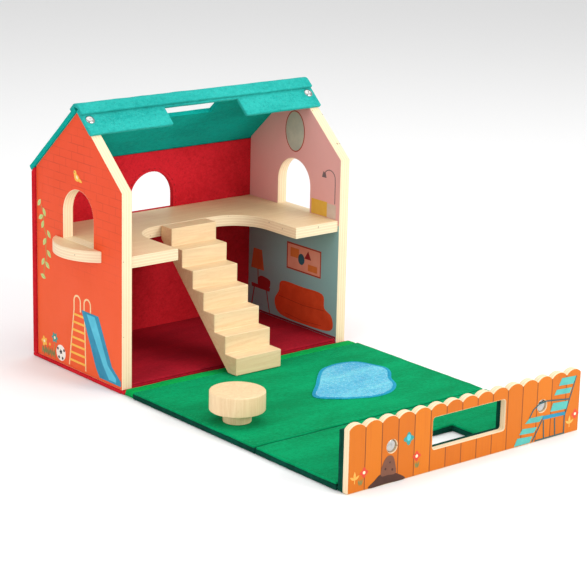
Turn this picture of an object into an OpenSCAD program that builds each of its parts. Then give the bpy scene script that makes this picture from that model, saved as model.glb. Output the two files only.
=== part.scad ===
// Folding toy house: two plywood gable walls in a felt-covered shell that opens into a lawn.
// X runs along the ridge, -Y is the open front, +Z is up.
// The origin is at the middle of the house's underside.

/* [House] */
// Width over both gable walls
house_w = 280; // [240:1:320]
// Depth of a gable wall from its front edge to its back edge
wall_d = 148; // [130:1:160]
// Height of a gable wall at the eaves
eave_h = 193; // [180:1:210]
// Height of a gable wall at its peak
peak_h = 259; // [245:1:280]
// Plywood thickness of the walls and the upper floor
ply_t = 11.5; // [9:0.5:13]
// Width of the arched windows in the gable walls
window_w = 52; // [40:1:60]
// Height of the gable windows from sill to crown
window_h = 52; // [42:1:56]
// Width of the arched window in the back panel
back_window_w = 54; // [40:1:60]
// Height of the back window from sill to crown
back_window_h = 40; // [34:1:50]

/* [Upper floor] */
// Top of the upper floor above the table
floor_top = 133; // [120:1:145]
// Width of the stair recess in the floor's front edge
recess_w = 146; // [110:1:160]
// Depth of the stair recess from the floor's front edge
recess_d = 86; // [70:1:95]
// Corner radius at the back of the recess
recess_r = 38; // [15:1:50]
// Setback of the floor's front edge behind the wall edges
floor_setback = 2; // [1:0.5:6]
// Width of the balcony along the wall
balcony_w = 80; // [60:1:90]
// How far the balcony stands out from the wall
balcony_out = 20; // [12:1:26]
// Radius of the dowels that hold the upper floor
dowel_r = 2.5; // [2:0.5:3.5]

/* [Stairs] */
// Width of the stairs
stair_w = 56; // [44:1:70]
// Number of risers
stair_steps = 7; // [5:1:9]
// Middle of the stairs along the ridge
stair_x = -4; // [-30:1:30]
// Thickness of the stairs under each inner corner, measured straight down
stair_waist = 13.5; // [9:0.5:20]

/* [Felt shell] */
// Width of the lawn and the front roof panel
shell_w = 282; // [270:1:300]
// Thickness of one felt skin of the folding panels
skin_t = 2; // [1.5:0.1:3]
// Thickness of the board inside the folding panels
core_t = 2.8; // [2:0.1:4]
// Felt margin outside the board at each panel edge
hem = 4; // [3:0.5:8]
// Felt thickness under the house
base_t = 3; // [2:0.5:4]
// Width of the raised strip beside the lawn hinge
strip_w = 13.7; // [10:0.1:20]

/* [Lawn and front roof] */
// Distance of the lawn's far fold from the middle of the house
fold_y = 280; // [270:1:295]
// Length of the front roof panel
front_roof_l = 110; // [106:1:118]
// Width of the hand grip through the front roof panel
grip_w = 88; // [70:1:100]
// Distance of the panel's hand grip from its free edge
grip_near = 12; // [10:0.5:24]
// Length of the panel's hand grip, square to its free edge
grip_l = 40; // [30:0.5:46]

/* [Fence] */
// Height of the fence at the top of its planks
fence_h = 61; // [56:1:66]
// Thickness of the plywood fence
fence_t = 6.5; // [5:0.5:8]
// Thickness of the felt backing behind the fence
backing_t = 6.4; // [5:0.1:8]
// Number of planks
plank_count = 15; // [11:2:19]
// Radius of the rounded plank tops
plank_r = 12.5; // [10:0.5:18]
// Width of the opening through the fence
slot_w = 88; // [70:1:100]
// Height of the lower edge of the fence opening
slot_low = 19.5; // [16:0.5:24]
// Height of the upper edge of the fence opening
slot_high = 49; // [44:0.5:52]
// Corner radius of the fence opening
slot_r = 3; // [1:0.5:6]
// Radius of the fence magnets
magnet_r = 6; // [4:0.5:8]
// Distance of each magnet from the middle of the fence
magnet_x = 91; // [70:1:110]
// Height of the magnets on the fence
magnet_z = 33; // [25:1:40]

/* [Roof] */
// Thickness of the roof felt skins
roof_skin_t = 1.6; // [1:0.1:2.5]
// Thickness of the board in the back roof slope
roof_core_t = 1.8; // [1.5:0.1:3]
// Overhang of the roof beyond the back eave, along the slope
eave_overhang = 8; // [6:0.5:12]
// Thickness of the front flap
flap_t = 3.6; // [2.5:0.1:5]
// Length of the front flap's end tabs down the slope
tab_l = 31; // [26:1:40]
// Length of the flap between the tabs down the slope
flap_waist = 9.5; // [8:0.5:14]
// Width of the cut-away between the tabs
cutaway_w = 90; // [70:1:110]
// Length of the ridge band down each slope
band_l = 8; // [6:0.5:9]
// Thickness of the ridge band
band_t = 3; // [2:0.1:4]
// Start of the hand slot down the back slope
slot_near = 14; // [12:0.5:18]
// End of the hand slot down the back slope
slot_far = 34; // [30:0.5:44]

// Width of the hand slot along the ridge
roof_slot_w = 78; // [60:1:90]
// Distance of the rivets from the ridge
rivet_s = 14; // [14:0.5:24]

/* [Table] */
// Radius of the table top
table_r = 26; // [20:0.5:32]
// Thickness of the table top
table_top_t = 18.6; // [10:0.2:22]
// Radius of the table foot
table_foot_r = 13.3; // [9:0.1:18]
// Height of the table foot
table_foot_h = 11.1; // [8:0.1:16]
// Place of the table along the ridge
table_x = -112; // [-114:1:-60]
// Place of the table in front of the house
table_y = -217; // [-240:1:-150]

/* [Hidden] */
$fn = 72;
half_w = house_w / 2;
front_y = -wall_d / 2;
back_y = wall_d / 2;
wall_z = base_t;
eave_z = wall_z + eave_h;
peak_z = wall_z + peak_h;
inner_x = half_w - ply_t;
slope_a = atan2(peak_h - eave_h, wall_d / 2);
slope_l = norm([wall_d / 2, peak_h - eave_h]);
shell_x = shell_w / 2;
side_cover = 2;                        // the felt shell covers the walls' outer edges by this much
pile_t = 0.2;
panel_t = 2 * skin_t + core_t + pile_t;
pool_t = 0.8;
panel_core_z = skin_t;
panel_top_z = panel_core_z + core_t;
hinge_y = front_y - 5;                 // lawn hinge line
hinge_gap = 0.3;                       // half the gap at the lawn hinge
strip_h = panel_t - 0.6;
strip_y = hinge_y - hinge_gap - strip_w;
fold_gap = 0.4;
front_roof_near = -fold_y - fold_gap;
front_roof_end = -fold_y - front_roof_l;
backing_y = front_roof_end - 1;        // back face of the fence backing
fence_back_y = backing_y - backing_t;
fence_front_y = fence_back_y - fence_t;
plank_w = house_w / plank_count;
plank_sag = plank_r - sqrt(plank_r * plank_r - plank_w * plank_w / 4);
fence_side_h = fence_h - plank_sag;
backing_h = fence_side_h - 2;
back_skin_t = 2;
back_core_t = 2;
lining_t = 2;
back_panel_t = lining_t + back_core_t + back_skin_t;
back_top_z = eave_z - back_panel_t * tan(slope_a);   // just under the roof's overhang
base_core_t = 2.4;
floor_pile_z = base_t + base_core_t + lining_t;
roof_t = 2 * roof_skin_t + roof_core_t;
roof_x = half_w + side_cover;
loose_gap = 0.3;                       // loose pieces stand this far above the felt
stair_z = panel_t + loose_gap;
step_h = (floor_top - stair_z) / stair_steps;
step_d = step_h;
stair_back_y = front_y + floor_setback + recess_d - 0.6;
stair_front_y = stair_back_y - stair_steps * step_d;
dowel_in_wall = 7;
dowel_in_floor = 17;
dowel_z = floor_top - ply_t / 2;
dowel_ys = [-42, 46];
rivet_x = half_w - ply_t / 2;
rivet_shank_r = 1.8;
rivet_depth = 12;
rivet_cap_r = 4.7;
pocket_depth = 3.5;
magnet_t = 2.4;
plate_s = magnet_z + 2;                // steel plates face the magnets when the house is shut
seam = 0.01;

// ---------- shared shapes ----------

// Extrudes an outline drawn in Y and Z along X, from x0 for len
module along_x(x0, len) {
  translate([x0, 0, 0]) rotate([90, 0, 90]) linear_extrude(len) children();
}

// Extrudes an outline drawn in X and Z along Y, from y0 for len
module along_y(y0, len) {
  translate([0, y0 + len, 0]) rotate([90, 0, 0]) linear_extrude(len) children();
}

// Box between two corners
module block(low, high) {
  translate(low) cube(high - low);
}

// Box centred on X, given half its width
module wide_block(hx, y0, y1, z0, z1) {
  block([-hx, y0, z0], [hx, y1, z1]);
}

// Arched opening outline that stands on the given sill height
module arch(w, h, sill) {
  translate([-w / 2, sill]) square([w, h - w / 2]);
  translate([0, sill + h - w / 2]) circle(d = w);
}

// Frame of the back roof slope: X along the ridge, Y down the slope, Z out of the slope
module on_back_slope() {
  translate([0, 0, peak_z]) rotate([-slope_a, 0, 0]) children();
}

// The same frame on the front slope
module on_front_slope() {
  mirror([0, 1, 0]) on_back_slope() children();
}

// Copies the children to both ends of the ridge
module both_ends() {
  children();
  mirror([1, 0, 0]) children();
}

// ---------- gable walls and upper floor ----------

module gable_outline() {
  polygon([[front_y, wall_z], [back_y, wall_z], [back_y, eave_z], [0, peak_z], [front_y, eave_z]]);
}

// One gable wall, built at the +X end
module gable_wall() {
  difference() {
    along_x(inner_x, ply_t) difference() {
      gable_outline();
      arch(window_w, window_h, floor_top);
    }
    floor_dowel_set();
    rivet_shank();
  }
}

// The two dowels at the +X end of the floor
module floor_dowel_set() {
  for (y = dowel_ys)
    translate([inner_x - dowel_in_floor, y, dowel_z])
      rotate([0, 90, 0]) cylinder(r = dowel_r, h = dowel_in_floor + dowel_in_wall);
}

// Shank of the rivet in the front slope at the +X end
module rivet_shank() {
  on_front_slope()
    translate([rivet_x, rivet_s, -rivet_depth])
      cylinder(r = rivet_shank_r, h = rivet_depth + flap_t);
}

module left_wall() {
  color("orangered") mirror([1, 0, 0]) gable_wall();
}

module right_wall() {
  color("lightpink") gable_wall();
}

// Recess in the floor's front edge, open to the front
module recess_outline() {
  y0 = front_y + floor_setback;
  y1 = y0 + recess_d;
  translate([-recess_w / 2, y0 - 1]) square([recess_w, recess_d - recess_r + 1]);
  translate([-recess_w / 2 + recess_r, y0]) square([recess_w - 2 * recess_r, recess_d]);
  for (side = [-1, 1])
    translate([side * (recess_w / 2 - recess_r), y1 - recess_r]) circle(r = recess_r);
}

module upper_floor() {
  color("burlywood") difference() {
    translate([0, 0, floor_top - ply_t]) linear_extrude(ply_t) difference() {
      translate([-inner_x, front_y + floor_setback])
        square([2 * inner_x, wall_d - floor_setback]);
      recess_outline();
    }
    both_ends() floor_dowel_set();
  }
}

module balcony() {
  arc_r = (balcony_w * balcony_w / 4 + balcony_out * balcony_out) / (2 * balcony_out);
  color("burlywood") translate([0, 0, floor_top - ply_t]) linear_extrude(ply_t)
    intersection() {
      translate([-half_w - balcony_out + arc_r, 0]) circle(r = arc_r, $fn = 96);
      translate([-half_w - balcony_out, -balcony_w / 2]) square([balcony_out, balcony_w]);
    }
}

module floor_dowels() {
  color("tan") both_ends() floor_dowel_set();
}

// ---------- felt shell of the house ----------

module base_felt() {
  color("firebrick") {
    wide_block(half_w + side_cover, front_y, back_y + back_panel_t, 0, base_t);
    wide_block(shell_x, hinge_y + hinge_gap, front_y + seam, 0, skin_t + pile_t);
  }
}

module base_core() {
  wide_block(inner_x, front_y + 1 + lining_t, back_y, base_t, base_t + base_core_t);
}

module base_board() {
  color("darkgray") base_core();
}

// The lining covers the board and turns down over its front edge
module floor_lining() {
  color("darkred") difference() {
    wide_block(inner_x, front_y + 1, back_y, base_t, floor_pile_z);
    base_core();
  }
}

// A layer of the back panel, pulled in by a margin from its edges and its window
module back_layer(y0, len, margin) {
  along_y(y0, len) difference() {
    translate([-half_w - side_cover + margin, base_t + margin])
      square([2 * (half_w + side_cover - margin), back_top_z - base_t - 2 * margin]);
    arch(back_window_w + 2 * margin, back_window_h + 2 * margin, floor_top - margin);
  }
}

module back_lining() {
  color("crimson") back_layer(back_y, lining_t, 0);
}

module back_core() {
  back_layer(back_y + lining_t, back_core_t, hem);
}

module back_board() {
  color("darkgray") back_core();
}

// The outer felt wraps the board's edges
module back_felt() {
  color("crimson") difference() {
    back_layer(back_y + lining_t, back_core_t + back_skin_t, 0);
    back_core();
  }
}

// ---------- roof ----------

// A layer of the back slope with its hand slot, pulled in by a margin
module roof_layer(n0, n1, margin) {
  on_back_slope() difference() {
    wide_block(roof_x - margin, margin, slope_l + eave_overhang - margin, n0, n1);
    wide_block(roof_slot_w / 2 + margin, slot_near - margin, slot_far + margin, n0 - 1, n1 + 1);
  }
}

module roof_core() {
  roof_layer(roof_skin_t, roof_skin_t + roof_core_t, hem);
}

// The steel plates, set in the roof board
module plate_set() {
  on_back_slope() for (side = [-1, 1])
    translate([side * magnet_x, plate_s, roof_skin_t]) cylinder(r = magnet_r, h = roof_core_t);
}

module roof_lining() {
  color("teal") roof_layer(0, roof_skin_t, 0);
}

module roof_board() {
  color("darkgray") difference() {
    roof_core();
    plate_set();
  }
}

module roof_felt() {
  color("mediumturquoise") difference() {
    roof_layer(roof_skin_t, roof_t, 0);
    roof_core();
  }
}

module roof_plates() {
  color("silver") plate_set();
}

// Point on a slope's side view: s down the slope, n out of it, side -1 at the front and 1 at the back
function slope_point(side, s, n) = [
  side * (s * cos(slope_a) + n * sin(slope_a)),
  peak_z - s * sin(slope_a) + n * cos(slope_a)
];

module ridge_band() {
  crown = [for (k = [0 : 8])
    let (u = k / 8, ang = 90 + slope_a * (1 - 2 * u), r = flap_t + band_t + u * (roof_t - flap_t))
    [r * cos(ang), peak_z + r * sin(ang)]];
  color("mediumturquoise") along_x(-roof_x, 2 * roof_x) polygon(concat(
    [[0, peak_z], slope_point(-1, 0, flap_t), slope_point(-1, band_l, flap_t),
      slope_point(-1, band_l, flap_t + band_t)],
    crown,
    [slope_point(1, band_l, roof_t + band_t), slope_point(1, band_l, roof_t), slope_point(1, 0, roof_t)]
  ));
}

module roof_flap() {
  color("aquamarine") difference() {
    on_front_slope() difference() {
      wide_block(roof_x, 0, tab_l, 0, flap_t);
      wide_block(cutaway_w / 2, flap_waist, tab_l + 1, -1, flap_t + 1);
    }
    both_ends() rivet_shank();
  }
}

module flap_rivets() {
  dome_h = 1.6;
  dome_r = (rivet_cap_r * rivet_cap_r + dome_h * dome_h) / (2 * dome_h);
  color("silver") both_ends() {
    rivet_shank();
    on_front_slope() translate([rivet_x, rivet_s, flap_t]) intersection() {
      translate([0, 0, dome_h - dome_r]) sphere(r = dome_r);
      cylinder(r = rivet_cap_r, h = dome_h);
    }
  }
}

// ---------- folding panels ----------

// Board inside a folding panel that runs from y0 to y1
module panel_board(y0, y1) {
  wide_block(shell_x - hem, y0 + hem, y1 - hem, panel_core_z, panel_top_z);
}

// Hand grip through the front roof panel, with a margin all round
module roof_grip(margin) {
  y0 = front_roof_end + grip_near;
  wide_block(grip_w / 2 + margin, y0 - margin, y0 + grip_l + margin, -1, panel_t + 1);
}

module hinge_strip() {
  color("mediumseagreen") wide_block(shell_x, strip_y, hinge_y - hinge_gap, 0, strip_h);
}

module lawn_underfelt() {
  color("darkgreen") difference() {
    wide_block(shell_x, -fold_y + fold_gap, strip_y, 0, panel_top_z);
    panel_board(-fold_y + fold_gap, strip_y);
  }
}

module lawn_board() {
  color("darkgray") panel_board(-fold_y + fold_gap, strip_y);
}

module lawn_felt() {
  color("seagreen") wide_block(shell_x, -fold_y + fold_gap, strip_y, panel_top_z, panel_t);
}

module pool_patch() {
  lobes = [[12, -204, 22], [36, -202, 36], [52, -205, 34], [62, -177, 37], [80, -168, 26], [72, -195, 30]];
  color("steelblue") translate([0, 0, panel_t]) linear_extrude(pool_t)
    for (p = lobes) translate([p[0], p[1]]) circle(r = p[2]);
}

module front_roof_underfelt() {
  color("darkgreen") difference() {
    wide_block(shell_x, front_roof_end, front_roof_near, 0, panel_top_z);
    front_roof_core();
    roof_grip(0);
  }
}

module front_roof_core() {
  difference() {
    panel_board(front_roof_end, front_roof_near);
    roof_grip(hem);
  }
}

module front_roof_board() {
  color("darkgray") front_roof_core();
}

module front_roof_felt() {
  color("seagreen") difference() {
    wide_block(shell_x, front_roof_end, front_roof_near, panel_top_z, panel_t);
    roof_grip(0);
  }
}

// ---------- fence ----------

// Opening through the fence with rounded corners, grown by a margin
module slot_outline(margin) {
  w = slot_w + 2 * margin;
  h = slot_high - slot_low + 2 * margin;
  translate([-w / 2, slot_low - margin + slot_r]) square([w, h - 2 * slot_r]);
  translate([-w / 2 + slot_r, slot_low - margin]) square([w - 2 * slot_r, h]);
  for (x = [-w / 2 + slot_r, w / 2 - slot_r], z = [slot_r, h - slot_r])
    translate([x, slot_low - margin + z]) circle(r = slot_r);
}

module backing_outline() {
  translate([-half_w, 0]) square([house_w, backing_h]);
}

module fence_backing() {
  color("darkgreen") difference() {
    along_y(fence_back_y, backing_t) difference() {
      backing_outline();
      slot_outline(1);
    }
    fence_core_block();
  }
}

// Board glued between the felt backing and the plywood
module fence_core_block() {
  along_y(fence_back_y, core_t) difference() {
    translate([-half_w + hem, hem]) square([house_w - 2 * hem, backing_h - 2 * hem]);
    slot_outline(1 + hem);
  }
}

module fence_core() {
  color("darkgray") fence_core_block();
}

// Fence outline: a straight body with one rounded top per plank
module fence_outline() {
  translate([-half_w, 0]) square([house_w, fence_side_h - 1]);
  intersection() {
    translate([-half_w, fence_side_h - plank_r / 2]) square([house_w, fence_h]);
    for (k = [0 : plank_count - 1])
      translate([-half_w + (k + 0.5) * plank_w, fence_h - plank_r]) circle(r = plank_r);
  }
}

module fence() {
  color("darkorange") difference() {
    along_y(fence_front_y, fence_t) difference() {
      fence_outline();
      slot_outline(0);
    }
    for (side = [-1, 1])
      translate([side * magnet_x, fence_front_y - 1, magnet_z])
        rotate([-90, 0, 0]) cylinder(r = magnet_r, h = pocket_depth + 1);
  }
}

module fence_magnets() {
  color("silver") for (side = [-1, 1])
    translate([side * magnet_x, fence_front_y + pocket_depth - magnet_t, magnet_z])
      rotate([-90, 0, 0]) cylinder(r = magnet_r, h = magnet_t);
}

// ---------- loose pieces ----------

module stairs() {
  treads = [for (k = [0 : stair_steps - 1], corner = [0, 1])
    [stair_front_y + (k + corner) * step_d, stair_z + (k + 1) * step_h]];
  color("blanchedalmond") along_x(stair_x - stair_w / 2, stair_w) polygon(concat(
    [[stair_front_y, stair_z]], treads,
    [[stair_back_y, floor_top - stair_waist], [stair_front_y + stair_waist, stair_z]]
  ));
}

module table_foot() {
  color("tan") translate([table_x, table_y, stair_z]) cylinder(r = table_foot_r, h = table_foot_h);
}

module table_top() {
  color("bisque") translate([table_x, table_y, stair_z + table_foot_h])
    cylinder(r = table_r, h = table_top_t);
}

left_wall();
right_wall();
upper_floor();
balcony();
floor_dowels();
base_felt();
base_board();
floor_lining();
back_lining();
back_board();
back_felt();
roof_lining();
roof_board();
roof_felt();
roof_plates();
ridge_band();
roof_flap();
flap_rivets();
hinge_strip();
lawn_underfelt();
lawn_board();
lawn_felt();
pool_patch();
front_roof_underfelt();
front_roof_board();
front_roof_felt();
fence_backing();
fence_core();
fence();
fence_magnets();
stairs();
table_top();
table_foot();
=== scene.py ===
import math

import bmesh
import bpy
from mathutils import Matrix, Vector, noise


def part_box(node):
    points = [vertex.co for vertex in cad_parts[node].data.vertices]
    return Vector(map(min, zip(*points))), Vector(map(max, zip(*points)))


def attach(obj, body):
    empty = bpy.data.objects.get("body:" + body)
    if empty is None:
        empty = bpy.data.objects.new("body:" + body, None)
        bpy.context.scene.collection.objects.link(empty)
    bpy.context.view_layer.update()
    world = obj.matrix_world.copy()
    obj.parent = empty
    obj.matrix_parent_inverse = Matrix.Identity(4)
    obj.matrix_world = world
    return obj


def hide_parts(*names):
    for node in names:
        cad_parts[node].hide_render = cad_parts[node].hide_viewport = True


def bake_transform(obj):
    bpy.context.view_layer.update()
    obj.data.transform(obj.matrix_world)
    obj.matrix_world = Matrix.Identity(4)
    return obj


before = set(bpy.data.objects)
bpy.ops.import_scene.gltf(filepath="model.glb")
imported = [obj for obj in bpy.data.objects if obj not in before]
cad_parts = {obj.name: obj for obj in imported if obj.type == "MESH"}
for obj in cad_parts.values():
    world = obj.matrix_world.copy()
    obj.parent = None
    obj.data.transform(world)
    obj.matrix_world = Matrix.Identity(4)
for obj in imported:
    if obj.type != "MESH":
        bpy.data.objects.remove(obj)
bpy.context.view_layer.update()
mm = 0.001


def colour(code, alpha=1.0):
    channels = [int(code[i:i + 2], 16) / 255 for i in (0, 2, 4)]
    linear = [c / 12.92 if c <= 0.04045 else ((c + 0.055) / 1.055) ** 2.4 for c in channels]
    return (*linear, alpha)


# ---- node wiring ----

def put(tree, kind, inputs=None, **settings):
    made = tree.nodes.new(kind)
    for key, value in settings.items():
        setattr(made, key, value)
    for key, value in (inputs or {}).items():
        if isinstance(value, bpy.types.NodeSocket):
            tree.links.new(value, made.inputs[key])
        else:
            made.inputs[key].default_value = value
    return made


def calc(tree, operation, *values, clamp=False):
    made = put(tree, "ShaderNodeMath", dict(enumerate(values)), operation=operation, use_clamp=clamp)
    return made.outputs[0]


def times(tree, *values):
    return calc(tree, "MULTIPLY", *values)


def plus(tree, *values):
    return calc(tree, "ADD", *values)


def objectPlace(tree):
    return put(tree, "ShaderNodeTexCoord").outputs["Object"]


def split(tree, vector):
    return put(tree, "ShaderNodeSeparateXYZ", {0: vector}).outputs


def blendColour(tree, factor, a, b, way="MIX"):
    made = put(tree, "ShaderNodeMix", {0: factor, 6: a, 7: b}, data_type="RGBA", blend_type=way)
    return made.outputs[2]


def spread(tree, value, low, high, newLow=0.0, newHigh=1.0):
    sockets = {"Value": value, "From Min": low, "From Max": high, "To Min": newLow, "To Max": newHigh}
    return put(tree, "ShaderNodeMapRange", sockets, clamp=True).outputs[0]


def stretched(tree, scale, vector=None, turn=(0, 0, 0)):
    sockets = {"Vector": vector or objectPlace(tree), "Rotation": turn, "Scale": scale}
    return put(tree, "ShaderNodeMapping", sockets).outputs[0]


def cloud(tree, vector, scale, detail=4.0, roughness=0.55, distortion=0.0):
    sockets = {"Vector": vector, "Scale": scale, "Detail": detail, "Roughness": roughness,
               "Distortion": distortion}
    return put(tree, "ShaderNodeTexNoise", sockets).outputs[0]


def newGroup(name, inputs, outputs):
    group = bpy.data.node_groups.new(name, "ShaderNodeTree")
    for label, kind, value in inputs:
        socket = group.interface.new_socket(label, in_out="INPUT", socket_type=kind)
        if value is not None:
            socket.default_value = value
    for label, kind in outputs:
        group.interface.new_socket(label, in_out="OUTPUT", socket_type=kind)
    return group, group.nodes.new("NodeGroupInput").outputs, group.nodes.new("NodeGroupOutput").inputs


rgba, number, arrow = "NodeSocketColor", "NodeSocketFloat", "NodeSocketVector"


def makeFeltGroup():
    group, given, out = newGroup(
        "feltFibres",
        [("Base", rgba, None), ("Shade", rgba, None), ("FibreHighlight", rgba, None), ("Fuzz", number, 1.0)],
        [("Color", rgba), ("Height", number)])
    place = objectPlace(group)
    wide = cloud(group, stretched(group, (12, 34, 20), place, (0, 0, 0.6)), 1.0, 3.0, 0.55, 0.4)
    fine = cloud(group, stretched(group, (190, 330, 260), place, (0, 0, 0.5)), 1.0, 4.0, 0.6)
    mottle = plus(group, times(group, wide, 0.6), times(group, fine, 0.4))
    tufts = cloud(group, place, 420.0, 6.0, 0.7, 0.6)
    strands = calc(group, "MAXIMUM", *[
        cloud(group, stretched(group, scale, place, turn), 1.0, 5.0, 0.7, 1.2)
        for scale, turn in (((260, 1500, 700), (0.2, 0.4, 0.6)), ((1500, 300, 800), (0.5, -0.3, -0.5)))])
    dark = spread(group, mottle, 0.40, 0.60)
    tone = blendColour(group, dark, given["Base"], given["Shade"])
    # painted highlight: the raised fibres (the strands, which also lift the bump) are lightened towards the
    # highlight colour
    fibreHighlightMask = times(group, spread(group, strands, 0.56, 0.74), given["Fuzz"])
    fibreHighlightMask = times(group, fibreHighlightMask, 0.45)
    tone = blendColour(group, fibreHighlightMask, tone, given["FibreHighlight"])
    # painted shade: darker where the tufts noise is low, the same hollows that the bump sinks
    pitShade = spread(group, tufts, 0.30, 0.50, 0.72, 1.0)
    pitShade = put(group, "ShaderNodeCombineColor", {0: pitShade, 1: pitShade, 2: pitShade}).outputs[0]
    group.links.new(blendColour(group, 1.0, tone, pitShade, "MULTIPLY"), out["Color"])
    group.links.new(plus(group, times(group, strands, 0.5), times(group, tufts, 0.5)), out["Height"])
    return group


def makeGrainGroup():
    group, given, out = newGroup(
        "woodGrain",
        [("Vector", arrow, None), ("Light", rgba, None), ("Dark", rgba, None), ("Figure", number, 0.5)],
        [("Color", rgba), ("Height", number)])
    along = given["Vector"]                      # X runs along the grain, in metres
    wide = cloud(group, stretched(group, (5, 70, 70), along), 1.0, 4.0, 0.5, 0.8)
    lines = cloud(group, stretched(group, (14, 900, 900), along), 1.0, 4.0, 0.6, 0.3)
    rays = cloud(group, stretched(group, (260, 2400, 2400), along), 1.0, 2.0, 0.5)
    bands = calc(group, "PINGPONG", calc(group, "FRACT", times(group, wide, 7.0)), 0.5)
    figure = times(group, plus(group, bands, times(group, lines, 0.6)), given["Figure"])
    tone = blendColour(group, figure, given["Light"], given["Dark"])
    flecks = times(group, spread(group, rays, 0.60, 0.72), 0.28)
    tone = blendColour(group, flecks, tone, given["Dark"])
    group.links.new(tone, out["Color"])
    group.links.new(plus(group, lines, times(group, rays, 0.5)), out["Height"])
    return group


def makePlyGroup():
    group, given, out = newGroup(
        "plyLayers",
        [("Across", number, 0.0), ("Layer", number, 0.0014), ("Vector", arrow, None), ("Light", rgba, None),
         ("Dark", rgba, None)],
        [("Color", rgba), ("Height", number)])
    wander = cloud(group, given["Vector"], 40.0, 2.0)
    across = plus(group, calc(group, "DIVIDE", given["Across"], given["Layer"]), times(group, wander, 0.35))
    odd = calc(group, "MODULO", plus(group, calc(group, "FLOOR", across), 100.0), 2.0)
    inLayer = calc(group, "PINGPONG", across, 0.5)
    glueLine = spread(group, inLayer, 0.02, 0.13, 1.0, 0.0)
    endGrain = cloud(group, stretched(group, (1800, 1800, 1800), given["Vector"]), 1.0, 3.0, 0.7)
    oddTone = times(group, odd, spread(group, endGrain, 0.3, 0.7, 0.10, 0.40))
    tone = blendColour(group, oddTone, given["Light"], given["Dark"])
    tone = blendColour(group, times(group, glueLine, 0.38), tone, given["Dark"])
    # painted shade: dark specks standing for gaps in the core that are not modelled
    gapShade = spread(group, cloud(group, given["Vector"], 150.0, 1.0, 0.4), 0.735, 0.765)   # in the core
    gapShade = times(group, gapShade, spread(group, inLayer, 0.1, 0.2))
    tone = blendColour(group, times(group, gapShade, 0.85), tone, colour("6B4426"))
    group.links.new(tone, out["Color"])
    group.links.new(calc(group, "SUBTRACT", endGrain, times(group, glueLine, 0.6)), out["Height"])
    return group


def makeWearGroup():
    group, given, out = newGroup(
        "edgeWear", [("Reach", number, 0.0008), ("Amount", number, 0.5)], [("Mask", number)])
    soft = put(group, "ShaderNodeBevel", {"Radius": given["Reach"]}, samples=4).outputs[0]
    flat = put(group, "ShaderNodeNewGeometry").outputs["Normal"]
    facing = put(group, "ShaderNodeVectorMath", {0: soft, 1: flat}, operation="DOT_PRODUCT").outputs["Value"]
    edge = spread(group, facing, 0.995, 0.90)
    patches = spread(group, cloud(group, objectPlace(group), 160.0, 5.0, 0.7), 0.42, 0.62)
    group.links.new(times(group, times(group, edge, patches), given["Amount"]), out["Mask"])
    return group


def makeDustGroup():
    group, given, out = newGroup(
        "handling", [("Tone", rgba, None), ("Amount", number, 0.06)], [("Color", rgba), ("Roughness", number)])
    place = objectPlace(group)
    smears = cloud(group, place, 24.0, 6.0, 0.65, 0.4)
    fine = cloud(group, place, 900.0, 3.0, 0.6)
    dark = times(group, spread(group, smears, 0.4, 0.75), given["Amount"])
    tone = blendColour(group, dark, given["Tone"], colour("6B5A48"))
    group.links.new(tone, out["Color"])
    rough = plus(group, spread(group, smears, 0.3, 0.7, 0.36, 0.52), times(group, fine, 0.1))
    group.links.new(rough, out["Roughness"])
    return group


feltGroup = makeFeltGroup()
grainGroup = makeGrainGroup()
plyGroup = makePlyGroup()
wearGroup = makeWearGroup()
dustGroup = makeDustGroup()


def useGroup(tree, group, inputs):
    return put(tree, "ShaderNodeGroup", inputs, node_tree=group).outputs


def newMaterial(name, **sockets):
    material = bpy.data.materials.new(name)
    material.use_nodes = True
    shader = material.node_tree.nodes["Principled BSDF"]
    for label, value in sockets.items():
        shader.inputs[label.replace("_", " ")].default_value = value
    return material, material.node_tree, shader


def bumpFrom(tree, shader, height, strength, distance):
    bump = put(tree, "ShaderNodeBump", {"Height": height, "Strength": strength, "Distance": distance})
    tree.links.new(bump.outputs[0], shader.inputs["Normal"])


def feltMaterial(name, base, shade, fibreHighlight, fuzz=1.0):
    material, tree, shader = newMaterial(name, Roughness=0.95, Sheen_Weight=0.12, Sheen_Roughness=0.4,
                                         Sheen_Tint=colour(fibreHighlight), Specular_IOR_Level=0.08)
    tones = {"Base": colour(base), "Shade": colour(shade), "FibreHighlight": colour(fibreHighlight)}
    felt = useGroup(tree, feltGroup, {**tones, "Fuzz": fuzz})
    tree.links.new(felt["Color"], shader.inputs["Base Color"])
    bumpFrom(tree, shader, felt["Height"], 0.55, 0.0009)
    return material


woodTones = {"light": "F3D8AC", "dark": "CB955C", "plyLight": "F6E0BC", "plyDark": "D3A574"}
printed = {"Specular_IOR_Level": 0.25, "Coat_Weight": 0.04}


def woodLook(tree, turn, figure):
    return useGroup(tree, grainGroup, {"Vector": stretched(tree, (1, 1, 1), None, turn), "Figure": figure,
                                       "Light": colour(woodTones["light"]), "Dark": colour(woodTones["dark"])})


def finishWood(tree, shader, tone, height, strength=0.25, amount=0.05):
    handled = useGroup(tree, dustGroup, {"Tone": tone, "Amount": amount})
    tree.links.new(handled["Color"], shader.inputs["Base Color"])
    tree.links.new(handled["Roughness"], shader.inputs["Roughness"])
    bumpFrom(tree, shader, height, strength, 0.0002)


def solidWood(name, turn, figure=0.32):
    material, tree, shader = newMaterial(name, Coat_Weight=0.08, Coat_Roughness=0.3)
    grain = woodLook(tree, turn, figure)
    finishWood(tree, shader, grain["Color"], grain["Height"])
    return material


def sideFacing(tree, axis):
    normal = put(tree, "ShaderNodeTexCoord").outputs["Normal"]
    side = split(tree, normal)[axis]
    return side, calc(tree, "ABSOLUTE", side)


def plyEdge(tree, axis, middle, layer):
    place = objectPlace(tree)
    across = split(tree, place)[axis]
    return useGroup(tree, plyGroup, {
        "Across": calc(tree, "SUBTRACT", across, middle), "Layer": layer, "Vector": place,
        "Light": colour(woodTones["plyLight"]), "Dark": colour(woodTones["plyDark"])})


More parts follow.
